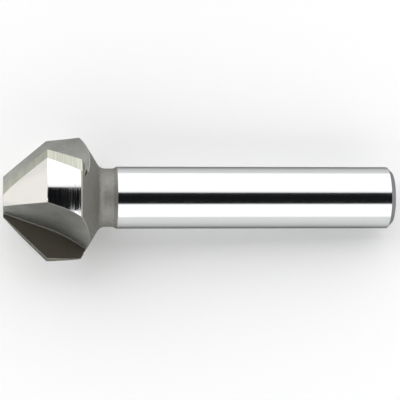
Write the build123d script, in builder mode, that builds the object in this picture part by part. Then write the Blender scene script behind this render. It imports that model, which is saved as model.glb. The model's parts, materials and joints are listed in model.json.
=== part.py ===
from build123d import *
from math import acos, atan2, cos, hypot, radians, sin, tan
import os

# Three-flute countersink bit, turned and ground from one bar of high-speed steel.
# Millimetres and degrees. The bit is made standing on its point with its axis on Z, and is then
# laid down as it rests on a bench: on two neighbouring lobes of the head, with a flute facing
# down between them, and on the rim of the shank's end.

# ---- driving dimensions ----
overall_length = 63.0
head_diameter = 20.5         # at the front corner of the land
tip_diameter = 6.7           # flat at the small end of the cutting cone
point_angle = 90.0           # included angle of the cutting cone
land_length = 5.4            # cylindrical part of the head, along the axis
land_back_taper = 3.0        # the land narrows towards the shank by this angle
land_edge_break = 0.2        # bevel on the back corner of the land
back_cone_angle = 59.0       # back cone, from the axis
neck_diameter = 9.4
neck_length = 2.1            # from the sharp foot of the back cone to the shank's lead-in
neck_fillet = 1.4
lead_in_length = 0.6         # short cone from the neck up to the shank
shank_diameter = 10.0
shank_chamfer = 0.8

flute_count = 3
flute_root_offset = 2.46     # distance of a flute's root from the axis at the tip
flute_rise = 18.0            # the root runs outwards by this angle on its way back
flute_twist = 10.1           # and round the bit by this one, right-hand
cutting_wall_angle = 26.3    # wall under the cutting edge, from the radius through the root
flute_corner_angle = 71.0    # between the cutting wall and the wall behind the next lobe
flute_root_radius = 0.2
run_out_height = 6.85        # from here back the grinding wheel no longer moves on
wheel_radius = 19.5          # so the flute ends in the curve of its rim
margin_width = 1.85          # ground strip behind each cutting edge
margin_depth = 0.12          # how far the strip lies below the cone and the land

overrun = 1.0                # solids that cut reach this far past the steel
seam_angle = 30.0            # the turned faces begin and end in the middle of a lobe

# ---- stations along the axis, from the tip ----
head_radius = head_diameter / 2
tip_radius = tip_diameter / 2
neck_radius = neck_diameter / 2
shank_radius = shank_diameter / 2
cone_slope = tan(radians(point_angle / 2))
land_slope = tan(radians(land_back_taper))
cone_end = (head_radius - tip_radius) / cone_slope
land_end = cone_end + land_length
land_end_radius = head_radius - land_length * land_slope
back_cone_end = land_end + (land_end_radius - neck_radius) / tan(radians(back_cone_angle))
neck_end = back_cone_end + neck_length
shank_start = neck_end + lead_in_length

# ---- run of a flute: its root is a straight line that leans outwards and round the bit ----
rise = tan(radians(flute_rise))
twist = tan(radians(flute_twist))
flute_direction = Vector(rise, twist, 1).normalized()
wall_direction = Vector(1, 0, 0).rotate(Axis.Z, -cutting_wall_angle)
cut_start = -overrun
cut_end = back_cone_end + overrun


def root_point(height):
    return Vector(flute_root_offset + rise * height, twist * height, height)


# ---- turned blank: cutting cone, land, back cone, neck and shank ----
seam_plane = Plane.XZ.rotated((0, 0, seam_angle))
with BuildPart() as blank:
    with BuildSketch(seam_plane) as half_profile:
        with BuildLine():
            Polyline(
                (0, 0),
                (tip_radius, 0),
                (head_radius, cone_end),
                (land_end_radius, land_end),
                (neck_radius, back_cone_end),
                (neck_radius, neck_end),
                (shank_radius, shank_start),
                (shank_radius, overall_length),
                (0, overall_length),
                close=True,
            )
        make_face()
        neck_foot = half_profile.vertices().sort_by_distance((neck_radius, back_cone_end))[0]
        fillet(neck_foot, neck_fillet)
        land_corner = half_profile.vertices().sort_by_distance((land_end_radius, land_end))[0]
        chamfer(land_corner, land_edge_break)
        shank_rim = half_profile.vertices().sort_by_distance((shank_radius, overall_length))[0]
        chamfer(shank_rim, shank_chamfer)
    revolve(axis=Axis.Z)

# ---- grinding wheel's path through one flute: a straight run, then the wheel where it stops ----
wheel_face = wall_direction - flute_direction * wall_direction.dot(flute_direction)
wheel_plane = Plane(root_point(run_out_height), x_dir=wheel_face, z_dir=flute_direction)
wheel_axis = Axis(wheel_plane.origin + wheel_plane.x_dir * wheel_radius, wheel_plane.y_dir)
wheel_width = 1.5 * head_radius      # more than the steel it has to reach across
flank_rise = wheel_width / tan(radians(flute_corner_angle))
with BuildPart() as flute_cutter:
    with BuildSketch(wheel_plane) as wheel_rim:
        with BuildLine():
            Polyline(
                (0, 0),
                (wheel_width, 0),
                (wheel_width, -wheel_width),
                (flank_rise, -wheel_width),
                close=True,
            )
        make_face()
        fillet(wheel_rim.vertices().sort_by_distance((0, 0))[0], flute_root_radius)
    extrude(amount=(run_out_height - cut_start) / flute_direction.Z, dir=flute_direction * -1)
    revolve(wheel_rim.sketch, axis=wheel_axis, revolution_arc=90)

# ---- strip behind one cutting edge: a thin skin of the head, as wide as the margin ----
cone_skin = margin_depth / cos(radians(point_angle / 2))
land_skin = margin_depth / cos(radians(land_back_taper))
skin_corner = (head_radius - land_skin - tip_radius + cone_skin + cone_end * land_slope) / (
    cone_slope + land_slope
)
skin_start_radius = tip_radius - cone_skin + cut_start * cone_slope
skin_corner_radius = tip_radius - cone_skin + skin_corner * cone_slope
skin_end = land_end + overrun
skin_end_radius = skin_corner_radius - (skin_end - skin_corner) * land_slope
with BuildPart() as margin_cutter:
    with BuildSketch(Plane.XZ.rotated((0, 0, 180))):
        with BuildLine():
            Polyline(
                (skin_start_radius, cut_start),
                (skin_corner_radius, skin_corner),
                (skin_end_radius, skin_end),
                (head_radius + overrun, skin_end),
                (head_radius + overrun, cut_start),
                close=True,
            )
        make_face()
    revolve(axis=Axis.Z)
    wall_foot = root_point(cut_start)
    inner_end = wall_foot - wall_direction * overrun
    outer_end = wall_foot + wall_direction * 2 * head_diameter
    across = wall_direction.rotate(Axis.Z, 90) * margin_width
    with BuildSketch(Plane.XY.offset(cut_start)):
        with BuildLine():
            Polyline(
                (inner_end.X, inner_end.Y),
                (outer_end.X, outer_end.Y),
                (outer_end.X + across.X, outer_end.Y + across.Y),
                (inner_end.X + across.X, inner_end.Y + across.Y),
                close=True,
            )
        make_face()
    extrude(amount=(cut_end - cut_start) / flute_direction.Z, dir=flute_direction, mode=Mode.INTERSECT)

# ---- ground bit, still standing on its point ----
with BuildPart() as standing_bit:
    add(blank.part)
    with PolarLocations(0, flute_count):
        add(flute_cutter.part, mode=Mode.SUBTRACT)
        add(margin_cutter.part, mode=Mode.SUBTRACT)

# ---- how it lies: on a cutting corner, on the back corner of the next lobe, and on the shank's rim ----
bevel_start = land_end - land_edge_break * cos(radians(land_back_taper))
corners = standing_bit.vertices()
near_cutting_corner = wall_direction * skin_corner_radius + Vector(0, 0, skin_corner)
cutting_corner = corners.sort_by_distance(near_cutting_corner)[0]
near_back_corner = Vector(land_end_radius, 0, bevel_start).rotate(Axis.Z, -180 / flute_count)
back_corner = corners.sort_by_distance(near_back_corner)[0]
rim_height = overall_length - shank_chamfer

# The bench touches both corners, so along it a step from one to the other trades radius for height.
step = back_corner - cutting_corner
lean_x, lean_y = -step.X / step.Z, -step.Y / step.Z
reach_x = cutting_corner.X + lean_x * (cutting_corner.Z - rim_height)
reach_y = cutting_corner.Y + lean_y * (cutting_corner.Z - rim_height)
down_angle = atan2(reach_y, reach_x) + acos(shank_radius / hypot(reach_x, reach_y))
down = Vector(cos(down_angle), sin(down_angle), lean_x * cos(down_angle) + lean_y * sin(down_angle))
up = down.normalized() * -1
along_bench = Vector(0, 0, 1) - up * up.Z
bench = Plane(origin=(0, 0, 0), x_dir=along_bench, z_dir=up)

lying_bit = bench.to_local_coords(standing_bit.part)
box = lying_bit.bounding_box()
with BuildPart() as countersink_bit:
    with Locations((-box.center().X, -box.center().Y, -box.min.Z)):
        add(lying_bit)

os.makedirs("parts", exist_ok=True)
countersink_bit.part.label = "countersink_bit"
export_step(countersink_bit.part, "parts/countersink_bit.step")
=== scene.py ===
import json
from math import atan2, cos, pi, radians, sin, tan

import bmesh
import bpy
from mathutils import Matrix, Quaternion, Vector

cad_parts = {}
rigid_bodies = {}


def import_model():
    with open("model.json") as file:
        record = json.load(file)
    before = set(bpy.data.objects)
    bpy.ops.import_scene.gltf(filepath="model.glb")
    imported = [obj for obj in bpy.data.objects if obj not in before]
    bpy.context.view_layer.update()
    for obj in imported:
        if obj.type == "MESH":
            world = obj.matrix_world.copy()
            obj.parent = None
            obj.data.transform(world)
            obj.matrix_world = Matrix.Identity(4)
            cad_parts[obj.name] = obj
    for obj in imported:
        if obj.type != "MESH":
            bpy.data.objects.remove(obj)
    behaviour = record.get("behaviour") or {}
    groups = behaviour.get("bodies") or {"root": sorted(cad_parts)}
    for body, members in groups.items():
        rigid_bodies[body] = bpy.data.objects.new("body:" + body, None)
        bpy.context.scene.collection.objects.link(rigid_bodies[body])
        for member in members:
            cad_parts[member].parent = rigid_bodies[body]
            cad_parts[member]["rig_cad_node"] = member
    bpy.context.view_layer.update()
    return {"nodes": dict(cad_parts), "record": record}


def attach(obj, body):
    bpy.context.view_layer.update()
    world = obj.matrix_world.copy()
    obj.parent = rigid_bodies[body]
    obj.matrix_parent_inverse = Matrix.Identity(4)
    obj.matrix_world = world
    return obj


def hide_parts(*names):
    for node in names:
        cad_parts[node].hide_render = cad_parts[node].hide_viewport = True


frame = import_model()

MM = 0.001

# ---- axis of the bit: it lies on its head and on the rim of its shank, so the axis slopes ----
# Everything that was turned or ground runs round this line. It comes from the shank's mount, and
# the tip is where the steel begins along it.
cad_bit = frame["nodes"]["countersink_bit"]
shank_mount = frame["record"]["mounts"][0]
shank_middle = Vector(shank_mount["pos_m"])
axis = Vector(shank_mount["axis"]).normalized()
tip = shank_middle + axis * min((v.co - shank_middle).dot(axis) for v in cad_bit.data.vertices)
to_back = Vector((0, 1, 0))
above = to_back.cross(axis) * -1

# ---- camera: looks down on the bit, nearly square to its axis, through a long lens ----
# The tip is on the left, and the shank's end is a little farther away than the tip.
look_at_length = 31.66 * MM         # from the tip to the point of the axis in the picture's middle
aim_below_axis = 0.376 * MM
camera_distance = 285 * MM
recede = radians(5.87)
lean_to_front = radians(13.8)       # of the sight line from upright, round the axis
half_picture_tangent = 0.1135       # half the picture's width over its distance
sensor_width = 36.0                 # mm
nearest_seen, farthest_seen = 10 * MM, 20000 * MM

square_on = above * cos(lean_to_front) - to_back * sin(lean_to_front)
to_camera = square_on * cos(recede) - axis * sin(recede)
picture_right = (axis + to_camera * sin(recede)).normalized()
picture_up = to_camera.cross(picture_right)
aim = tip + axis * look_at_length - picture_up * aim_below_axis
bpy.ops.object.camera_add(location=aim + to_camera * camera_distance)
camera = bpy.context.object
camera.rotation_euler = Matrix((picture_right, picture_up, to_camera)).transposed().to_euler()
camera.data.sensor_width = sensor_width
camera.data.lens = sensor_width / 2 / half_picture_tangent
camera.data.clip_start = nearest_seen
camera.data.clip_end = farthest_seen
bpy.context.scene.camera = camera
bpy.context.scene.view_settings.view_transform = "Standard"


# ---- bench: a wide matt sheet of near-white card, which the bit lies on ----
# It fills the picture behind the bit, takes its soft shadow and shows in its lower sides.
bench_size = 6000 * MM
bench_colour = (0.96, 0.96, 0.96, 1)


def new_tree(owner):
    """The empty node tree of a material or a world."""
    owner.use_nodes = True
    owner.node_tree.nodes.clear()
    return owner.node_tree


def add_node(tree, kind, inputs=None, **settings):
    """A node of this kind. An input is given a value, or the output socket that feeds it."""
    node = tree.nodes.new("ShaderNode" + kind)
    for name, value in settings.items():
        setattr(node, name, value)
    for name, value in (inputs or {}).items():
        if isinstance(value, bpy.types.NodeSocket):
            tree.links.new(value, node.inputs[name])
        else:
            node.inputs[name].default_value = value
    return node


bpy.ops.mesh.primitive_plane_add(size=bench_size)
bench = bpy.context.object
bench.name = "bench"
bench_card = bpy.data.materials.new("bench_card")
tree = new_tree(bench_card)
matt = add_node(tree, "BsdfDiffuse", {"Color": bench_colour})
add_node(tree, "OutputMaterial", {"Surface": matt.outputs["BSDF"]})
bench.data.materials.append(bench_card)


# ---- light: a white tent round the bench, with a dark card round the lens ----
# The tent is the world. Polished steel shows it as white fields, with the card as a dark stripe
# along the bit. The tent dims a little beside the card's far edge.
tent_colour = (1.0, 1.0, 1.0, 1)
tent_strength = 1.6
card_colour = (0.004, 0.0045, 0.005, 1)
card_half_angle = radians(21.6)
card_turn = radians(2.6)            # the card sits a little to the front of the lens
card_edge = radians(1.2)
card_half_length = radians(42)
dim_width = radians(11)             # how far the tent is dimmer beside the card's far edge
dim_share = 0.15
end_dim_share = 0.28                # the tent's two ends, past the tip and the shank, are dimmer
end_dim_start, end_dim_full = 0.45, 0.9


def add_math(tree, operation, first, second=0.0):
    """The result of one sum. Each side is a number or the socket that gives it."""
    return add_node(tree, "Math", {0: first, 1: second}, operation=operation).outputs[0]


def add_sum(tree, value, share, start):
    """start + share * value"""
    parts = {0: value, 1: share, 2: start}
    return add_node(tree, "Math", parts, operation="MULTIPLY_ADD").outputs[0]


def add_ramp(tree, value, low, high):
    """0 below low, 1 above high, and a soft step between them."""
    limits = {"Value": value, "From Min": low, "From Max": high}
    return add_node(tree, "MapRange", limits, interpolation_type="SMOOTHSTEP").outputs["Result"]


def add_blend(tree, share, first, second):
    """A colour between the first and the second."""
    parts = {0: share, 6: first, 7: second}
    return add_node(tree, "Mix", parts, data_type="RGBA").outputs[2]


world = bpy.data.worlds.new("tent")
bpy.context.scene.world = world
tree = new_tree(world)
direction = add_node(tree, "TexCoord").outputs["Generated"]
sky = add_node(tree, "SeparateXYZ", {0: direction}).outputs
toward_front = add_math(tree, "MULTIPLY", sky["Y"], -1.0)
height_angle = add_math(tree, "ARCTAN2", sky["Z"], toward_front)
card_angle = atan2(to_camera.z, -to_camera.y) - card_turn
past_card = add_math(tree, "SUBTRACT", height_angle, card_angle)
off_lens = add_math(tree, "ABSOLUTE", past_card)
off_middle = add_math(tree, "ABSOLUTE", sky["X"])
beside = add_ramp(tree, off_lens, card_half_angle - card_edge, card_half_angle + card_edge)
card_ends = sin(card_half_length - card_edge), sin(card_half_length + card_edge)
beyond = add_ramp(tree, off_middle, *card_ends)
outside_card = add_math(tree, "MAXIMUM", beside, beyond)
from_far_edge = add_ramp(tree, past_card, card_half_angle, card_half_angle + dim_width)
on_front = add_math(tree, "LESS_THAN", past_card, 0.0)
off_dim_band = add_math(tree, "MAXIMUM", from_far_edge, on_front)
full_light = add_math(tree, "MAXIMUM", off_dim_band, beyond)
near_card = add_sum(tree, full_light, dim_share, 1 - dim_share)
at_end = add_ramp(tree, off_middle, end_dim_start, end_dim_full)
toward_end = add_sum(tree, at_end, -end_dim_share, 1.0)
level = add_math(tree, "MULTIPLY", near_card, toward_end)
tent = add_node(tree, "Background", {
    "Color": add_blend(tree, outside_card, card_colour, tent_colour),
    "Strength": add_math(tree, "MULTIPLY", level, tent_strength),
})
add_node(tree, "OutputWorld", {"Surface": tent.outputs[0]})


# ---- bit: one bar of high-speed steel, turned, hardened and then ground ----
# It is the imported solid's mesh with its edges broken: a rounded corner between cone and land, and
# fine bevels along the cutting edges, the heels and the rim of the tip. The wheel that ground each
# margin left a small hollow behind it.
point_half_angle = radians(45)
land_taper = radians(3)
back_cone_half_angle = radians(59)
cone_end = 6.9 * MM
land_end = 12.3 * MM
land_edge_break = 0.2 * MM
neck_end = 17.56 * MM
shank_start = 18.16 * MM
rim_start = 62.2 * MM
overall_length = 63.0 * MM
tip_radius = 3.35 * MM
head_radius = 10.25 * MM
neck_radius = 4.7 * MM
shank_radius = 5.0 * MM
land_end_radius = head_radius - (land_end - cone_end) * tan(land_taper)
back_cone_slope = tan(back_cone_half_angle)
back_cone_end = land_end + (land_end_radius - neck_radius) / back_cone_slope
break_start = land_end - land_edge_break
break_end = land_end + land_edge_break * cos(back_cone_half_angle)
turned_surfaces = [                 # the finish, and where it ends: length from the tip, radius
    ("tip", 0, tip_radius),
    ("cone", cone_end, head_radius),
    ("land", break_start, land_end_radius + land_edge_break * tan(land_taper)),
    ("land_edge", break_end, land_end_radius - (break_end - land_end) * back_cone_slope),
    ("turned", back_cone_end, neck_radius),
    ("turned", neck_end, neck_radius),
    ("turned", shank_start, shank_radius),
    ("shank", rim_start, shank_radius),
    ("rim", overall_length, shank_radius - (overall_length - rim_start)),
]
first_flute_turn = radians(33.4)    # of one flute's root, from straight down towards the back
flute_rise = radians(18)
flute_count = 3
merge_distance = 0.001 * MM
flat_enough = radians(0.2)
skin_depth = 0.04 * MM              # what lies deeper under the blank was ground away
margin_skin_depth = 0.22 * MM       # what lies deeper than this is a flute
facing_sideways = 0.15
facing_along = 0.99
facing_forward = -0.5               # a wall under a cutting edge faces the way the bit turns
root_width = 0.1 * MM               # a flute's face narrower than this is its rounded root

bpy.ops.object.select_all(action="DESELECT")
cad_bit.select_set(True)
bpy.context.view_layer.objects.active = cad_bit
bpy.ops.object.duplicate()
bit = bpy.context.object
bit.name = "ground_bit"
bit.data.name = "ground_bit"
bpy.ops.object.mode_set(mode="EDIT")
bpy.ops.mesh.select_all(action="SELECT")
bpy.ops.mesh.customdata_custom_splitnormals_clear()
bpy.ops.mesh.remove_doubles(threshold=merge_distance)
bpy.ops.mesh.dissolve_limited(angle_limit=flat_enough)
bpy.ops.object.mode_set(mode="OBJECT")


def place_on_bit(point):
    """(distance along the axis from the tip, distance from the axis, direction from the axis)."""
    length = (point - tip).dot(axis)
    outward = point - tip - axis * length
    return length, outward.length, outward.normalized()


def turned_at(length):
    """(finish, radius, slope) of the turned bar there, before flutes and margins were ground."""
    for before, surface in zip(turned_surfaces, turned_surfaces[1:]):
        _, start, start_radius = before
        finish, end, end_radius = surface
        if length <= end:
            break
    slope = (end_radius - start_radius) / (end - start)
    return finish, start_radius + slope * (length - start), slope


def depth_of(point):
    """How deep under the turned bar's surface a point lies."""
    length, radius, outward = place_on_bit(point)
    return turned_at(length)[1] - radius


def finish_of(face, mesh):
    """Name of the surface that a face belongs to."""
    length, radius, outward = place_on_bit(face.center)
    sideways = face.normal.dot(axis.cross(outward))
    depths = [depth_of(mesh.vertices[i].co) for i in face.vertices]
    if abs(face.normal.dot(axis)) > facing_along:
        return "tip" if length < cone_end else "turned"
    if max(depths) > margin_skin_depth:
        longest = max((mesh.vertices[a].co - mesh.vertices[b].co).length for a, b in face.edge_keys)
        if face.area < root_width * longest:
            return "root"
        return "cutting_wall" if sideways < facing_forward else "trailing_wall"
    if abs(sideways) > facing_sideways:
        return "step"
    if max(depths) > skin_depth and length < break_end:
        return "margin"
    return turned_at(length)[0]


finishes = ["tip", "cone", "land", "land_edge", "turned", "shank", "rim", "margin", "step",
            "cutting_wall", "trailing_wall", "root", "edge", "dull_edge", "hollow", "hollow_wall"]
bit.data.materials.clear()
for finish in finishes:
    bit.data.materials.append(bpy.data.materials.new(finish))
for face in bit.data.polygons:
    face.material_index = finishes.index(finish_of(face, bit.data))


# Which edges are broken, by the surfaces on their two sides, and how wide the bevel is.
bevel_steps = 2
sharp = radians(12)
broken_edges = [
    (0.11 * MM, "edge", {("cone", "land")}),
    (0.12 * MM, "dull_edge", {("trailing_wall", "turned")}),
    (0.05 * MM, "dull_edge", {
        ("cone", "trailing_wall"), ("land", "trailing_wall"), ("land_edge", "trailing_wall"),
        ("cone", "tip"), ("cutting_wall", "tip"), ("tip", "trailing_wall"), ("root", "tip"),
        ("cutting_wall", "turned"), ("root", "turned"),
    }),
    (0.025 * MM, "edge", {
        ("cutting_wall", "margin"), ("margin", "tip"), ("margin", "turned"),
        ("land_edge", "margin"),
    }),
]
for width, left, pairs in broken_edges:
    bpy.ops.object.mode_set(mode="EDIT")
    bpy.ops.mesh.select_mode(type="EDGE")
    bpy.ops.mesh.select_all(action="DESELECT")
    shape = bmesh.from_edit_mesh(bit.data)
    for line in shape.edges:
        pair = tuple(sorted(finishes[face.material_index] for face in line.link_faces))
        if pair in pairs and line.calc_face_angle() > sharp:
            line.select_set(True)
    bmesh.update_edit_mesh(bit.data)
    bpy.ops.mesh.bevel(
        offset=width, segments=bevel_steps, affect="EDGES", clamp_overlap=False,
        material=finishes.index(left),
    )
    bpy.ops.object.mode_set(mode="OBJECT")

# The hollow behind each margin lies slanting in the back cone, and its far wall is painted darker,
# as painted shade in the hollow. Cutting the hollows leaves the faces in no fixed order, so they
# are sorted afterwards.
hollow_length = 12.88 * MM          # from the tip to the hollow's middle
hollow_turn = radians(12.5)         # from the flute's root
hollow_slant = radians(25.7)
hollow_half_sizes = Vector((1.15, 0.5, 0.2)) * MM
far_wall_lean = radians(12)         # the far wall leans at least this much out of the cone
wheel_segments, wheel_rings = 32, 16
flute_ways = [Quaternion(axis, first_flute_turn + 2 * pi * i / flute_count) @ -above
              for i in range(flute_count)]
for way in flute_ways:
    outward = Quaternion(axis, hollow_turn) @ way
    down_cone = (axis - outward * back_cone_slope).normalized()
    off_cone = (outward + axis * back_cone_slope).normalized()
    long_way = down_cone * sin(hollow_slant) - axis.cross(outward) * cos(hollow_slant)
    wheel_axes = Matrix((long_way, off_cone.cross(long_way), off_cone)).transposed()
    middle = tip + axis * hollow_length + outward * turned_at(hollow_length)[1]
    bpy.ops.object.select_all(action="DESELECT")
    bpy.ops.mesh.primitive_uv_sphere_add(segments=wheel_segments, ring_count=wheel_rings, radius=1)
    wheel = bpy.context.object
    wheel.matrix_world = Matrix.LocRotScale(middle, wheel_axes.to_quaternion(), hollow_half_sizes)
    wheel.data.materials.append(bpy.data.materials["hollow"])
    bpy.context.view_layer.objects.active = bit
    cut = bit.modifiers.new("hollow", "BOOLEAN")
    cut.operation = "DIFFERENCE"
    cut.solver = "EXACT"
    cut.material_mode = "TRANSFER"
    cut.object = wheel
    bpy.ops.object.modifier_apply(modifier=cut.name)
    bpy.data.objects.remove(wheel)
    for face in bit.data.polygons:
        if finishes[face.material_index] == "hollow" and face.normal.dot(off_cone) > 0:
            if face.normal.dot(down_cone) < -sin(far_wall_lean):
                face.material_index = finishes.index("hollow_wall")
bit.select_set(True)
bpy.ops.object.mode_set(mode="EDIT")
bpy.ops.mesh.select_all(action="SELECT")
bpy.ops.mesh.sort_elements(type="CURSOR_DISTANCE", elements={"VERT", "EDGE", "FACE"})
bpy.ops.object.mode_set(mode="OBJECT")

# Each surface shades as the true cone, cylinder or plane, and a bevel turns from one to the next.
same_surface = radians(20)          # faces that meet at less than this are parts of one surface
margin_corner = cone_end + 0.05 * MM    # a margin's face whose middle lies before it is on the cone

bpy.ops.object.shade_smooth()
mesh = bit.data
faces_at = {}
for face in mesh.polygons:
    for vertex in face.vertices:
        faces_at.setdefault(vertex, []).append(face)
turned_ends = {finish: end for finish, end, _ in turned_surfaces}


def finish_at(face):
    """Name of the finish that a face was given."""
    return finishes[face.material_index]


def true_normal(face, vertex):
    """Normal at one of a face's corners, of the surface that the face stands for."""
    finish = finish_at(face)
    length, radius, outward = place_on_bit(mesh.vertices[vertex].co)
    if finish == "margin":
        on_cone = place_on_bit(face.center)[0] < margin_corner
        length = min(length, cone_end) if on_cone else break_start
    if finish in ("cone", "land", "land_edge", "shank", "margin"):
        if finish != "margin":
            length = turned_ends[finish]
        slope = turned_at(length)[2]
        return (outward - axis * slope).normalized()
    alike = [other for other in faces_at[vertex] if other.material_index == face.material_index
             and other.normal.dot(face.normal) > cos(same_surface)]
    return sum((other.normal * other.area for other in alike), Vector()).normalized()


corner_normals = []
for face in mesh.polygons:
    for corner in face.loop_indices:
        vertex = mesh.loops[corner].vertex_index
        beside = [other for other in faces_at[vertex] if "edge" not in finish_at(other)]
        if "edge" not in finish_at(face) or not beside:
            beside = [face]
        normals = [true_normal(other, vertex) for other in beside]
        corner_normals.append(sum(normals, Vector()).normalized())
mesh.normals_split_custom_set(corner_normals)

# Grinding direction, as a map in millimetres: the first number runs along the marks of the wheel,
# and the second across them.
grind = mesh.uv_layers.new(name="grind")
for face in mesh.polygons:
    length, radius, outward = place_on_bit(face.center)
    flute = max(flute_ways, key=(outward + face.normal).dot)
    ground_in_flute = finishes[face.material_index] in ("cutting_wall", "trailing_wall", "root")
    for corner in face.loop_indices:
        point = mesh.vertices[mesh.loops[corner].vertex_index].co
        corner_length, corner_radius, corner_outward = place_on_bit(point)
        if ground_in_flute:
            across = (point - tip).dot(flute) - corner_length * tan(flute_rise)
            marks = (corner_length, across)
        elif abs(face.normal.dot(axis)) > facing_along:
            marks = (0, corner_radius)
        else:
            face_turn = atan2(outward.dot(above), outward.dot(to_back))
            corner_turn = outward.cross(corner_outward).dot(axis)
            marks = (face_turn * radius + corner_turn * radius, corner_length)
        grind.data[corner].uv = (marks[0] / MM, marks[1] / MM)

del bit["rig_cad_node"]
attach(bit, "root")
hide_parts("countersink_bit")


# ---- finishes of the steel: the same bar, left differently by each wheel and tool, with some painted shade and light ----
# Fine marks run along the grinding direction, with broader streaks and faint clouds over them.
# The land is more worn towards its back edge, so the marks there are duller. The wall behind a lobe
# is painted a little brighter towards the flute's root: painted light against the shade that falls
# deep in the flute.
mark_run, streak_run = 0.12, 0.05   # changes per mm along a mark, and along a streak
streaks_per_mm = 1.1
noise_middle = 0.5
land_back = (8.5, 12.4)             # mm from the tip, where the wear begins and where it is full
worn_duller = 1.6
# Painted light on the wall behind a lobe: where it starts and where it is full, and how much
# brighter it makes the wall.
painted_light_span = (0.6, 2.4)             # mm outwards, from the heel and to the flute's root
painted_light_share = 0.35


def steel_finish(name, colour, roughness, edge_tint=0.6, marks_per_mm=9.0, mark_height=0.0,
                 dull_marks=0.0, dull_range=(0.45, 0.75), mark_tone=0.0, streak_tone=0.0,
                 cloud_size=2.0, cloud_tone=0.0, brushed=0.0, worn=None, painted_light=None):
    """A finish of the steel. Sizes are in mm, and each tone is the share by which it varies."""
    tree = new_tree(bpy.data.materials[name])
    grind_map = add_node(tree, "UVMap", uv_map="grind").outputs["UV"]
    fine = add_node(tree, "Mapping", {"Vector": grind_map, "Scale": (mark_run, marks_per_mm, 1)})
    marks = add_node(tree, "TexNoise", {
        "Vector": fine.outputs[0], "Scale": 1.0, "Detail": 3.0, "Roughness": 0.6,
    }).outputs["Fac"]
    broad = add_node(tree, "Mapping", {
        "Vector": grind_map, "Scale": (streak_run, streaks_per_mm, 1),
    })
    streaks = add_node(tree, "TexNoise", {
        "Vector": broad.outputs[0], "Scale": 1.0, "Detail": 2.0, "Roughness": 0.5,
    }).outputs["Fac"]
    body = add_node(tree, "TexCoord").outputs["Object"]
    clouds = add_node(tree, "TexNoise", {
        "Vector": body, "Scale": 1 / (cloud_size * MM), "Detail": 4.0, "Roughness": 0.55,
    }).outputs["Fac"]
    streaky = add_sum(tree, add_math(tree, "SUBTRACT", streaks, noise_middle), streak_tone, 1.0)
    cloudy = add_sum(tree, add_math(tree, "SUBTRACT", clouds, noise_middle), cloud_tone, 1.0)
    marked = add_sum(tree, add_math(tree, "SUBTRACT", marks, noise_middle), mark_tone, 1.0)
    tone = add_math(tree, "MULTIPLY", add_math(tree, "MULTIPLY", streaky, cloudy), marked)
    across = add_node(tree, "SeparateXYZ", {0: grind_map}).outputs["Y"]
    # Painted light: the colour grows brighter towards the flute's root, against the shade there.
    if painted_light:
        painted_light_gain = add_sum(tree, add_ramp(tree, across, *painted_light), painted_light_share, 1.0)
        tone = add_math(tree, "MULTIPLY", tone, painted_light_gain)
    base = add_node(tree, "VectorMath", {0: colour, 1: tone}, operation="MULTIPLY").outputs[0]
    dull = add_ramp(tree, marks, *dull_range)
    if worn:
        wear = add_sum(tree, add_ramp(tree, across, *worn), worn_duller, 1.0)
        dull = add_math(tree, "MULTIPLY", dull, wear)
    bump = add_node(tree, "Bump", {"Height": marks, "Distance": mark_height * MM, "Strength": 1.0})
    steel = add_node(tree, "BsdfPrincipled", {
        "Base Color": base, "Metallic": 1.0, "Normal": bump.outputs[0],
        "Roughness": add_sum(tree, dull, dull_marks, roughness),
        "Specular Tint": (edge_tint, edge_tint, edge_tint, 1), "Anisotropic": brushed,
        "Tangent": add_node(tree, "Tangent", direction_type="UV_MAP", uv_map="grind").outputs[0],
    })
    add_node(tree, "OutputMaterial", {"Surface": steel.outputs[0]})


steel_finish("cone", (0.725, 0.705, 0.665), 0.15, edge_tint=0.8, mark_height=0.0002,
             dull_marks=0.03, streak_tone=0.05, cloud_tone=0.05, brushed=0.3)
steel_finish("land", (0.70, 0.70, 0.695), 0.05, edge_tint=0.8, marks_per_mm=4.0,
             mark_height=0.0006, dull_marks=0.10, dull_range=(0.4, 0.7), streak_tone=0.05,
             brushed=0.3, worn=land_back)
steel_finish("margin", (0.435, 0.44, 0.38), 0.30, edge_tint=0.2, marks_per_mm=5.0,
             mark_height=0.002, dull_marks=0.05, mark_tone=0.9, streak_tone=0.45, brushed=0.4)
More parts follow.
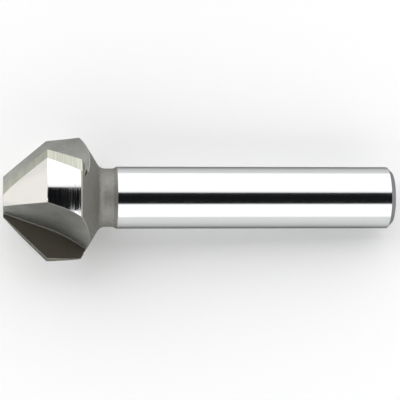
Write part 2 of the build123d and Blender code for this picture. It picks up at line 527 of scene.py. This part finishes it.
# The cutting wall's dark brown is partly the duller ground steel and partly painted shade, standing
# in for the dark it reflects.
steel_finish("cutting_wall", (0.160, 0.142, 0.119), 0.40, mark_height=0.001,
             dull_marks=0.05, mark_tone=0.3, streak_tone=0.15, cloud_tone=0.25, brushed=0.4)
# The trailing wall carries painted light, brighter towards the flute's root.
steel_finish("trailing_wall", (0.27, 0.275, 0.256), 0.58, edge_tint=0.3, mark_height=0.001,
             dull_marks=0.05, mark_tone=0.3, streak_tone=0.25, cloud_size=1.5, cloud_tone=0.45,
             brushed=0.2, painted_light=painted_light_span)
steel_finish("turned", (0.275, 0.27, 0.247), 0.58, edge_tint=0.25, marks_per_mm=5.0,
             mark_height=0.002, dull_marks=0.05, mark_tone=0.2, streak_tone=0.10, cloud_size=0.5,
             cloud_tone=0.40, brushed=0.2)
steel_finish("shank", (0.66, 0.67, 0.67), 0.115, edge_tint=0.25, mark_height=0.0001,
             dull_marks=0.03, streak_tone=0.015, brushed=0.2)
steel_finish("rim", (0.25, 0.253, 0.27), 0.45, mark_height=0.001,
             dull_marks=0.03, streak_tone=0.10)
steel_finish("tip", (0.46, 0.46, 0.44), 0.35, marks_per_mm=6.0, mark_height=0.002,
             dull_marks=0.05, streak_tone=0.10)
small_finishes = [                  # name, colour, roughness, edge tint
    # the root's dull, darker steel partly paints the shade in the crease at the flute's bottom
    ("root", (0.26, 0.25, 0.225), 0.5, 0.6),
    ("step", (0.46, 0.46, 0.40), 0.3, 0.6),
    ("hollow", (0.34, 0.34, 0.265), 0.4, 0.6),
    # painted shade: the hollow's far wall is near black
    ("hollow_wall", (0.06, 0.055, 0.04), 0.5, 0.2),
    ("land_edge", (0.40, 0.39, 0.37), 0.35, 0.6),
    ("edge", (0.70, 0.70, 0.69), 0.2, 1.0),
    ("dull_edge", (0.38, 0.37, 0.355), 0.4, 0.6),
]
for name, colour, roughness, edge_tint in small_finishes:
    steel_finish(name, colour, roughness, edge_tint, mark_height=0.0005,
                 dull_marks=0.03, mark_tone=0.2, streak_tone=0.10, cloud_tone=0.10)
